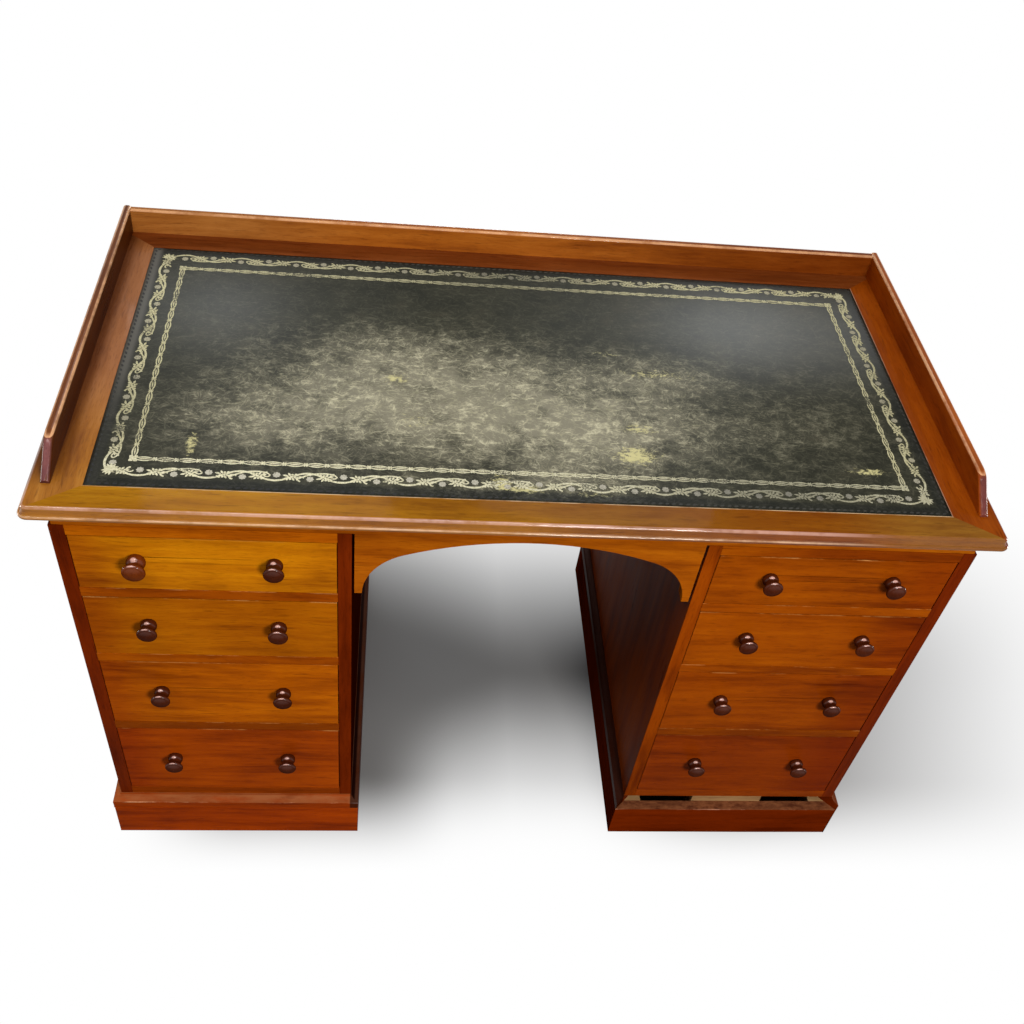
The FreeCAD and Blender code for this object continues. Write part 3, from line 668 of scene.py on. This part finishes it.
def rims_darkened(shader, colour):
    """The hide outside its border is less worn, with a painted grey sheen in a strip along the left edge."""
    x, y, z = shader.axes(shader.place)
    margin = shader.between(inset(shader), 12 * MM, 20 * MM, 1.0, 0.0)
    colour = shader.blend(margin, colour, shader.times(colour, (0.52, 0.54, 0.62)))
    strip = shader.between(x, LEATHER_LOW[X] + 9 * MM, LEATHER_LOW[X] + 18 * MM, 1.0, 0.0)
    painted_sheen = shader.product(strip, shader.between(y, -0.16, 0.0, 0.15, 1.0))
    return shader.blend(painted_sheen, colour, srgb(84, 82, 76))


def leather_material():
    """A dark green hide, scuffed to khaki and in places bared to its yellow inside."""
    shader = Shader("worn_green_hide")
    scratch = scratched(shader)
    mottle = shader.noise(shader.mapped(shader.place, scale=(1, 1.3, 1)), 60.0, 6.0, 0.68)
    drift = shader.noise(shader.place, 9.0, 4.0, 0.6)
    blotch = shader.noise(shader.mapped(shader.place, scale=(1, 1.4, 1)), 26.0, 4.0, 0.6)
    uneven = shader.weighted((drift, 0.45), (blotch, 0.55))
    amount = shader.product(shader.painted("scuffed"), shader.between(uneven, 0.36, 0.60, 0.45, 1.0))
    scuff = shader.product(scratch, shader.between(amount, 0.0, 0.6, 0.07, 0.8))
    speck = shader.product(shader.between(mottle, 0.47, 0.66), amount, 0.5)
    scuff = shader.math("ADD", scuff, speck, clamp=True)
    ground = shader.ramp(uneven, (0.3, srgb(30, 31, 24)), (0.55, srgb(46, 46, 36)), (0.8, srgb(62, 58, 46)))
    ground = shader.blend(shader.between(amount, 0.05, 0.9), ground, srgb(124, 120, 103))
    khaki = shader.ramp(mottle, (0.38, srgb(140, 137, 112)), (0.62, srgb(194, 189, 160)))
    colour = shader.blend(scuff, ground, khaki)
    crumbs = shader.noise(shader.mapped(shader.place, scale=(1, 1.6, 1)), 150.0, 5.0, 0.7)
    through = shader.weighted((shader.painted("bared"), 0.7), (crumbs, 1.5), (scratch, 0.20))
    colour = shader.blend(shader.between(through, 1.12, 1.42, 0.0, 0.9), colour, srgb(196, 189, 136))
    pebble = shader.add("ShaderNodeTexVoronoi", feature="F1")
    shader.join(shader.place, pebble.inputs["Vector"])
    pebble.inputs["Scale"].default_value = 900.0
    relief = shader.weighted((pebble.outputs["Distance"], 0.5), (scuff, -0.4))
    shader.set(Base_Color=rims_darkened(shader, colour),
               Roughness=shader.between(scuff, 0.0, 1.0, 0.30, 0.48),
               Specular_IOR_Level=shader.between(shader.painted("shining"), 0.0, 1.0, 0.035, 0.60),
               Normal=shader.bump(relief, 0.16, 0.3 * MM))
    return shader.material


leather = make_leather()
leather.data.materials.append(leather_material())

# Gilt border tooled into the leather

# Where the gilding is rubbed faint, as the patches on the hide
FADED = (
    (-0.35, 0.23, 0.20, 0.05, 0.25), (0.00, 0.23, 0.19, 0.05, 0.74), (0.40, 0.23, 0.15, 0.05, 0.15),
    (0.53, 0.00, 0.05, 0.20, 0.38), (0.32, -0.23, 0.23, 0.05, 0.72), (-0.08, -0.23, 0.14, 0.05, 0.15),
    (-0.52, -0.12, 0.05, 0.09, 0.36), (-0.52, 0.08, 0.05, 0.10, 0.12),
)
# Which material of the border a shape takes
GILT_LINE, GILT_ROSETTE, BLIND_NOTCH = 0, 1, 2
# A leaf's outline: shares of its length and of its width
LEAF = ((0, 0), (0.25, 0.42), (0.55, 0.5), (0.8, 0.3), (1, 0), (0.8, -0.3), (0.55, -0.5), (0.25, -0.42))
ROSETTE_POINTS, ROSETTE_LOBES, LOBE_DEPTH = 24, 8, 0.12
# How many layers the shapes lie in by turns, and how far apart these are
LAYERS, LAYER_GAP = 7, 0.015 * MM


class Tooling:
    """Flat strokes and leaves that make up the tooled border."""

    def __init__(self):
        self.vertices = []
        self.faces = []
        self.kinds = []

    def height(self):
        """The face of the leather, and a hair more, so that shapes that cross don't lie in one plane."""
        return LEATHER_TOP + LAYER_GAP * (len(self.kinds) % LAYERS)

    def add(self, points, kind):
        start, z = len(self.vertices), self.height()
        self.vertices.extend((x, y, z) for x, y in points)
        self.faces.append(tuple(range(start, start + len(points))))
        self.kinds.append(kind)

    def stroke(self, points, widths, kind=GILT_LINE):
        """A line of changing width through some points."""
        start, z = len(self.vertices), self.height()
        count = len(points)
        for index, (x, y) in enumerate(points):
            before = points[max(index - 1, 0)]
            after = points[min(index + 1, count - 1)]
            along = Vector((after[0] - before[0], after[1] - before[1])).normalized()
            half = widths[index] / 2
            self.vertices.append((x - along.y * half, y + along.x * half, z))
            self.vertices.append((x + along.y * half, y - along.x * half, z))
        for index in range(count - 1):
            left = start + 2 * index
            self.faces.append((left, left + 1, left + 3, left + 2))
            self.kinds.append(kind)

    def leaf(self, place, point, angle, length, width):
        """A pointed leaf from a point, in a band's own directions."""
        outline = []
        for along, across in LEAF:
            a, b = along * length, across * width
            outline.append(place(point[0] + a * math.cos(angle) - b * math.sin(angle),
                                 point[1] + a * math.sin(angle) + b * math.cos(angle)))
        self.add(outline, GILT_LINE)

    def rosette(self, place, point, radius, kind):
        outline = []
        for index in range(ROSETTE_POINTS):
            turn = 2 * math.pi * index / ROSETTE_POINTS
            reach = radius * (1 - LOBE_DEPTH + LOBE_DEPTH * math.cos(ROSETTE_LOBES * turn))
            outline.append(place(point[0] + reach * math.cos(turn), point[1] + reach * math.sin(turn)))
        self.add(outline, kind)


# Insets of each line of tooling from the front, right, back and left edges of the leather
VINE_INSETS = (27.5 * MM, 25.3 * MM, 22.8 * MM, 24.3 * MM)
CHAIN_INSETS = (49.8 * MM,) * 4
NOTCH_INSETS = (4.6 * MM,) * 4
# How far the vine swings, how long each bend is and where the first one starts
VINE_SWING, VINE_STEP, VINE_START = 6.9 * MM, 40.77 * MM, -26.6 * MM
# The stem's width and how much more it has in a bend, how round its bends are, and the step of its points
STEM_WIDTH, STEM_SWELL, STEM_BEND, STEM_POINTS = 2.6 * MM, 0.5 * MM, 0.85, 2.5 * MM
# How far a loop of the chain swings, how long it is about, its width at its ends and how much more in its
# middle, the gap before it as a share, and its parts
CHAIN_SWING, CHAIN_STEP, CHAIN_WIDTH, CHAIN_SWELL = 3.1 * MM, 26.0 * MM, 1.0 * MM, 0.9 * MM
CHAIN_GAP, CHAIN_PARTS = 0.02, 12
NOTCH_STEP, NOTCH_WIDTHS = 9.0 * MM, (1.6 * MM, 3.2 * MM, 2.0 * MM)
# How close to a band's ends the vine's parts may come
VINE_END, ROSETTE_END = 8 * MM, 4 * MM
# Where a rosette lies in its bend: share of the step, and how far across the band, and its radius
ROSETTE_SHARE, ROSETTE_OFFSET, ROSETTE_RADIUS = 0.56, 2.8 * MM, 5.0 * MM
# The curl after each crossing: its middle along and across the band, first and last angle and radius,
# how much it is squeezed across, and its width and how much of that it loses
CURL_MIDDLE, CURL_ANGLES, CURL_RADII = (12.0 * MM, -2.4 * MM), (4.6, 0.2), (6.0 * MM, 3.0 * MM)
CURL_SQUEEZE, CURL_WIDTH, CURL_THINNING, CURL_PARTS = 0.8, 2.4 * MM, 0.42, 12
# Berries where the vine crosses its middle, in millimetres: place along and across the band, and radius
BUNCH = (
    (0.0, 0.0, 2.0), (3.6, 1.0, 2.0), (-3.6, -1.0, 2.0), (1.2, 3.8, 1.8), (-1.2, -3.8, 1.8), (5.2, 4.6, 1.6),
    (-5.2, -4.6, 1.6),
)
# Leaves around them: angle, then in millimetres length, and root along and across the band
SPRAY = (
    (0.45, 8.0, 3.5, 1.5), (-0.25, 8.0, 3.0, -1.0), (3.60, 8.0, -3.5, -1.5), (2.90, 8.0, -3.0, 1.0),
    (2.10, 6.0, -1.0, 1.5), (-1.05, 6.0, 1.0, -1.5),
)
SPRAY_WIDTH = 2.9 * MM
# A second strand over every other bend, in millimetres: place along and across the band, and width
TENDRIL = (
    (6.0, -4.2, 1.2), (9.0, -2.4, 1.8), (13.0, 0.2, 2.2), (18.0, 2.9, 2.3), (24.0, 5.2, 2.3),
    (30.0, 6.8, 2.2), (36.0, 7.6, 2.2), (42.0, 7.7, 2.2), (48.0, 6.8, 2.1), (53.0, 4.8, 1.9),
    (55.5, 2.2, 1.7), (54.0, 0.2, 1.4),
)
# Leaves at the corners of the vine and of the chain: angles, length and width
VINE_CORNER = (-2.9, -2.45, -2.0, -1.55, -0.5, 0.0, 0.5, 1.05, 1.57, 2.1, 2.6), 10.5 * MM, 3.6 * MM
CHAIN_CORNER = (0.78, 2.36, -2.36, -0.78), 7.0 * MM, 5.6 * MM


def sides(insets):
    """For each side of the leather: its length within the insets, and what turns a way along it and a way
    inward into a place."""
    front, right, back, left = insets
    x0, y0 = LEATHER_LOW[X] + left, LEATHER_LOW[Y] + front
    x1, y1 = LEATHER_HIGH[X] - right, LEATHER_HIGH[Y] - back
    yield x1 - x0, lambda s, t: (x0 + s, y0 + t)
    yield y1 - y0, lambda s, t: (x1 - t, y0 + s)
    yield x1 - x0, lambda s, t: (x1 - s, y1 - t)
    yield y1 - y0, lambda s, t: (x0 + t, y1 - s)


def curl(tooling, place, start, way):
    """A tendril that curls in from an outer radius to an inner one and thins out."""
    points, widths = [], []
    for part in range(CURL_PARTS + 1):
        share = part / CURL_PARTS
        angle = CURL_ANGLES[0] + (CURL_ANGLES[1] - CURL_ANGLES[0]) * share
        radius = CURL_RADII[0] + (CURL_RADII[1] - CURL_RADII[0]) * share
        along = start + CURL_MIDDLE[0] + radius * math.cos(angle)
        across = CURL_MIDDLE[1] + CURL_SQUEEZE * radius * math.sin(angle)
        points.append(place(along, way * across))
        widths.append(CURL_WIDTH * (1.0 - CURL_THINNING * share))
    tooling.stroke(points, widths)


def stem(tooling, length, place):
    """The vine's waving stem, thickest in its bends."""
    count = int(length / STEM_POINTS)
    points, widths = [], []
    for index in range(count + 1):
        s = length * index / count
        turn = math.pi * (s - VINE_START) / VINE_STEP
        wave = math.sin(turn)
        points.append(place(s, VINE_SWING * math.copysign(abs(wave) ** STEM_BEND, wave)))
        widths.append(STEM_WIDTH - STEM_SWELL * math.cos(2 * turn))
    tooling.stroke(points, widths)


def vine(tooling, length, place):
    """A running scroll: a stem, a rosette in each bend, leaves where it crosses its middle, and tendrils."""
    stem(tooling, length, place)
    start, way = VINE_START, 1
    while start < length - VINE_END:
        middle = start + ROSETTE_SHARE * VINE_STEP
        if ROSETTE_END < middle < length - ROSETTE_END:
            tooling.rosette(place, (middle, -ROSETTE_OFFSET * way), ROSETTE_RADIUS, GILT_ROSETTE)
        if start > VINE_END:
            curl(tooling, place, start, way)
            for angle, reach, along, across in SPRAY:
                root = start + along * MM, way * across * MM
                tooling.leaf(place, root, way * angle, reach * MM, SPRAY_WIDTH)
            for along, across, radius in BUNCH:
                tooling.rosette(place, (start + along * MM, way * across * MM), radius * MM, GILT_LINE)
            if way > 0 and start + TENDRIL[-1][0] * MM < length:
                tooling.stroke([place(start + along * MM, across * MM) for along, across, wide in TENDRIL],
                               [wide * MM for along, across, wide in TENDRIL])
        start, way = start + VINE_STEP, -way


def chain(tooling, length, place):
    """A run of pointed loops, each with a leaf inside and a knot of small leaves between it and the next."""
    count = max(1, round(length / CHAIN_STEP))
    step = length / count
    shares = [part / CHAIN_PARTS for part in range(CHAIN_PARTS + 1)]
    for index in range(count):
        start = index * step
        for way in (-1, 1):
            points, widths = [], []
            for share in shares:
                rise = math.sin(math.pi * share)
                along = start + (CHAIN_GAP + (1 - 2 * CHAIN_GAP) * share) * step
                points.append(place(along, way * CHAIN_SWING * rise ** 0.8))
                widths.append(CHAIN_WIDTH + CHAIN_SWELL * rise)
            tooling.stroke(points, widths)
            for angle in (way * 1.0, math.pi - way * 1.0):
                tooling.leaf(place, (start, 0.0), angle, 4.0 * MM, 2.0 * MM)
        tooling.leaf(place, (start + 0.24 * step, -0.3 * MM), 0.04, 0.54 * step, 1.9 * MM)


def corner(tooling, place, root, leaves):
    angles, length, width = leaves
    for angle in angles:
        tooling.leaf(place, root, angle, length, width)


def notches(tooling, length, place, wander):
    """A row of dark slanting dents along the edge of the leather, none quite like the next."""
    count = int(length / NOTCH_STEP)
    for index in range(count):
        s = (index + 0.5) * length / count + wander.uniform(-0.5, 0.5) * MM
        half = wander.uniform(2.2, 3.0) * MM
        slant = wander.uniform(0.4, 1.2) * MM
        tooling.stroke([place(s - half, -slant), place(s, 0.2 * MM), place(s + half, slant)],
                       NOTCH_WIDTHS, BLIND_NOTCH)


def make_border():
    tooling = Tooling()
    wander = random.Random(7)
    for length, place in sides(VINE_INSETS):
        vine(tooling, length, place)
        corner(tooling, place, (2.0 * MM, 2.0 * MM), VINE_CORNER)
    for length, place in sides(CHAIN_INSETS):
        chain(tooling, length, place)
        corner(tooling, place, (0.0, 0.0), CHAIN_CORNER)
    for length, place in sides(NOTCH_INSETS):
        notches(tooling, length, place, wander)
    mesh = bpy.data.meshes.new("gilt_tooled_border")
    mesh.from_pydata(tooling.vertices, [], tooling.faces)
    mesh.polygons.foreach_set("material_index", tooling.kinds)
    paint(mesh, "faded", FADED)
    mesh.update()
    border = bpy.data.objects.new("gilt_tooled_border", mesh)
    scene.collection.objects.link(border)
    depth = border.modifiers.new("leaf_depth", "SOLIDIFY")
    depth.thickness = 0.3 * MM
    depth.offset = -0.6
    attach(border, "desk")
    return border


def gilt_material(name, bright, dull, keep):
    """Gold leaf on leather, rubbed through to the hide in places and fainter in some stretches."""
    shader = Shader(name)
    worn = shader.noise(shader.place, 22.0, 5.0, 0.65)
    fine = shader.noise(shader.place, 420.0, 3.0, 0.6)
    gold = shader.ramp(fine, (0.32, dull), (0.6, bright))
    at_front = shader.between(shader.axes(shader.place)[Y], -0.17, -0.21)
    gold = shader.blend(at_front, shader.times(gold, (0.86, 0.84, 0.72)), gold)
    remains = shader.weighted((worn, 0.6), (fine, 0.4))
    kept = shader.product(shader.math("SUBTRACT", 1.0, shader.painted("faded")),
                          shader.between(remains, keep - 0.06, keep + 0.06, 0.12, 1.0))
    shader.set(Base_Color=shader.blend(kept, srgb(50, 49, 40), gold), Specular_IOR_Level=0.2,
               Roughness=shader.between(fine, 0.3, 0.7, 0.42, 0.58), Normal=shader.bump(fine, 0.15, 0.2 * MM))
    return shader.material


border = make_border()
border.data.materials.append(gilt_material("gilt_line", srgb(222, 218, 188), srgb(172, 167, 128), 0.42))
border.data.materials.append(gilt_material("gilt_rosette", srgb(188, 184, 168), srgb(146, 142, 124), 0.40))
border.data.materials.append(gilt_material("blind_tooling", srgb(14, 13, 13), srgb(9, 9, 9), 0.30))

# Floor, light and camera


def seen_directly(tree):
    """1 for what the camera sees, also in a gloss or through glass."""
    path = tree.nodes.new("ShaderNodeLightPath")
    total = path.outputs["Is Camera Ray"]
    for kind in ("Is Glossy Ray", "Is Transmission Ray"):
        add = tree.nodes.new("ShaderNodeMath")
        add.use_clamp = True
        tree.links.new(total, add.inputs[0])
        tree.links.new(path.outputs[kind], add.inputs[1])
        total = add.outputs[0]
    return total


# Where the floor turns white on each side of the desk and before the kneehole: from where, and done by where
WHITE_LEFT, WHITE_RIGHT, WHITE_FRONT, WHITE_BACK = (0.40, 0.61), (0.35, 1.35), (0.18, 0.37), (0.05, 0.60)
WHITE_KNEES = (-0.03, 0.40)
# Across what stretches at its two sides the white before the kneehole sets in
KNEES_SIDES = ((-0.20, -0.04), (0.45, 0.15))
# The kneehole's shadow is widest at the left pedestal: how much it narrows to the right, and up to where
SHADOW_SLANT, SHADOW_END = 0.45, 0.05
# How much sooner the shadow on the right ends, for each metre to the front
SHADOW_TURN = 0.35
FLOOR_REACH = 7.0


def stage_floor():
    """A dark floor that glows as white as the backdrop to the camera and in glosses, save where a painted
    mask shaped like the desk's shadow lets the floor's own shading show.
    """
    corners = ((-1, -1), (1, -1), (1, 1), (-1, 1))
    mesh = bpy.data.meshes.new("pale_floor")
    mesh.from_pydata([(FLOOR_REACH * x, FLOOR_REACH * y, 0) for x, y in corners], [], [(0, 1, 2, 3)])
    floor = bpy.data.objects.new("pale_floor", mesh)
    scene.collection.objects.link(floor)
    shader = Shader("pale_floor")
    shader.set(Base_Color=(0.17, 0.17, 0.17, 1.0), Roughness=0.9, Specular_IOR_Level=0.1)
    glow = shader.add("ShaderNodeEmission")
    x, y, z = shader.axes(shader.place)
    leftward, forward = shader.math("MULTIPLY", x, -1.0), shader.math("MULTIPLY", y, -1.0)
    slant = shader.math("MULTIPLY", shader.math("MINIMUM", x, SHADOW_END), SHADOW_SLANT)
    knees = shader.between(shader.math("ADD", slant, forward), *WHITE_KNEES)
    for start, end in KNEES_SIDES:
        knees = shader.product(knees, shader.between(x, start, end))
    shade = shader.math("SUBTRACT", 1.0, knees)
    rightward = shader.weighted((x, 1.0), (forward, SHADOW_TURN))
    backward = shader.math("ADD", slant, y)
    for value, reach in ((leftward, WHITE_LEFT), (rightward, WHITE_RIGHT), (forward, WHITE_FRONT),
                         (backward, WHITE_BACK)):
        shade = shader.product(shade, shader.between(value, *reach, 1.0, 0.0))
    white = shader.math("SUBTRACT", 1.0, shade)
    for side in ("left", "right"):
        low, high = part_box("plinth_" + side + "_boards")
        outside = shader.math("LESS_THAN", x, low[X])
        for operation, value, limit in (("GREATER_THAN", x, high[X]), ("LESS_THAN", y, low[Y]),
                                        ("GREATER_THAN", y, high[Y])):
            outside = shader.math("MAXIMUM", outside, shader.math(operation, value, limit))
        white = shader.product(white, outside)
    pick = shader.add("ShaderNodeMixShader")
    shader.join(shader.product(white, seen_directly(shader.tree)), pick.inputs[0])
    shader.join(shader.surface.outputs["BSDF"], pick.inputs[1])
    shader.join(glow.outputs[0], pick.inputs[2])
    shader.join(pick.outputs[0], shader.output.inputs["Surface"])
    mesh.materials.append(shader.material)


def soft_world(strength):
    """A white backdrop that lights the desk only a little."""
    world = bpy.data.worlds.new("studio")
    scene.world = world
    world.use_nodes = True
    tree = world.node_tree
    tree.nodes.clear()
    output = tree.nodes.new("ShaderNodeOutputWorld")
    seen = tree.nodes.new("ShaderNodeBackground")
    lit = tree.nodes.new("ShaderNodeBackground")
    pick = tree.nodes.new("ShaderNodeMixShader")
    seen.inputs["Color"].default_value = (1, 1, 1, 1)
    lit.inputs["Color"].default_value = (1, 1, 1, 1)
    lit.inputs["Strength"].default_value = strength
    tree.links.new(seen_directly(tree), pick.inputs[0])
    tree.links.new(lit.outputs[0], pick.inputs[1])
    tree.links.new(seen.outputs[0], pick.inputs[2])
    tree.links.new(pick.outputs[0], output.inputs["Surface"])


def soft_light(name, place, aim, size, power, colour):
    """A panel of light, as wide and as deep as its size says."""
    lamp = bpy.data.lights.new(name, "AREA")
    lamp.shape = "RECTANGLE"
    lamp.size, lamp.size_y = size
    lamp.energy = power
    lamp.color = colour
    thing = bpy.data.objects.new(name, lamp)
    thing.location = place
    thing.rotation_euler = (Vector(aim) - Vector(place)).to_track_quat("-Z", "Y").to_euler()
    thing.visible_camera = False
    scene.collection.objects.link(thing)


MIDDLE = (0.0, 0.0, 0.5)
WARM, COOL = (1.0, 0.96, 0.92), (0.92, 0.97, 1.0)
stage_floor()
soft_world(0.10)
# Each lamp has its name, place, aim, size, power and colour
soft_light("key", (-0.45, -0.95, 2.6), (-0.2, 0.0, 0.5), (1.7, 0.35), 22, WARM)
soft_light("strip", (-0.10, -0.85, 2.6), (0.0, -0.2, 0.6), (2.2, 0.05), 7, WARM)
soft_light("fill", (0.60, -2.45, 1.8), MIDDLE, (0.6, 0.6), 57, WARM)
soft_light("back_left", (-0.64, 1.92, 2.6), (-0.34, -0.13, 0.76), (0.9, 0.9), 15, COOL)
soft_light("back_right", (0.69, 2.03, 2.6), (0.12, -0.09, 0.76), (0.9, 0.9), 15, COOL)
soft_light("side_left", (-3.0, 0.3, 0.45), (-0.6, 0.1, 0.42), (0.3, 0.6), 35, WARM)
soft_light("side_right", (3.0, 0.3, 0.45), (0.6, 0.1, 0.42), (0.3, 0.6), 35, WARM)
soft_light("behind", (0.0, 3.0, 0.62), (0.0, 0.3, 0.45), (1.2, 0.5), 32, WARM)

# The camera of the photo, with its lens and sensor in millimetres
EYE = Vector((-0.1870, -1.22685, 1.7417))
AIM = Vector((0.01358, 0.0050, 0.47435))
ROLL = 0.1504
FOCAL_LENGTH, SENSOR_WIDTH = 39.378, 36.0
ahead = (AIM - EYE).normalized()
across = ahead.cross(Vector((0, 0, 1))).normalized()
upward = across.cross(ahead)
right = math.cos(ROLL) * across + math.sin(ROLL) * upward
above = -math.sin(ROLL) * across + math.cos(ROLL) * upward
lens = bpy.data.cameras.new("photo_view")
lens.lens = FOCAL_LENGTH
lens.sensor_width = SENSOR_WIDTH
lens.clip_start = 0.05
camera = bpy.data.objects.new("photo_view", lens)
camera.matrix_world = Matrix(((right.x, above.x, -ahead.x, EYE.x), (right.y, above.y, -ahead.y, EYE.y),
                              (right.z, above.z, -ahead.z, EYE.z), (0, 0, 0, 1)))
scene.collection.objects.link(camera)
scene.camera = camera
scene.view_settings.view_transform = "Standard"
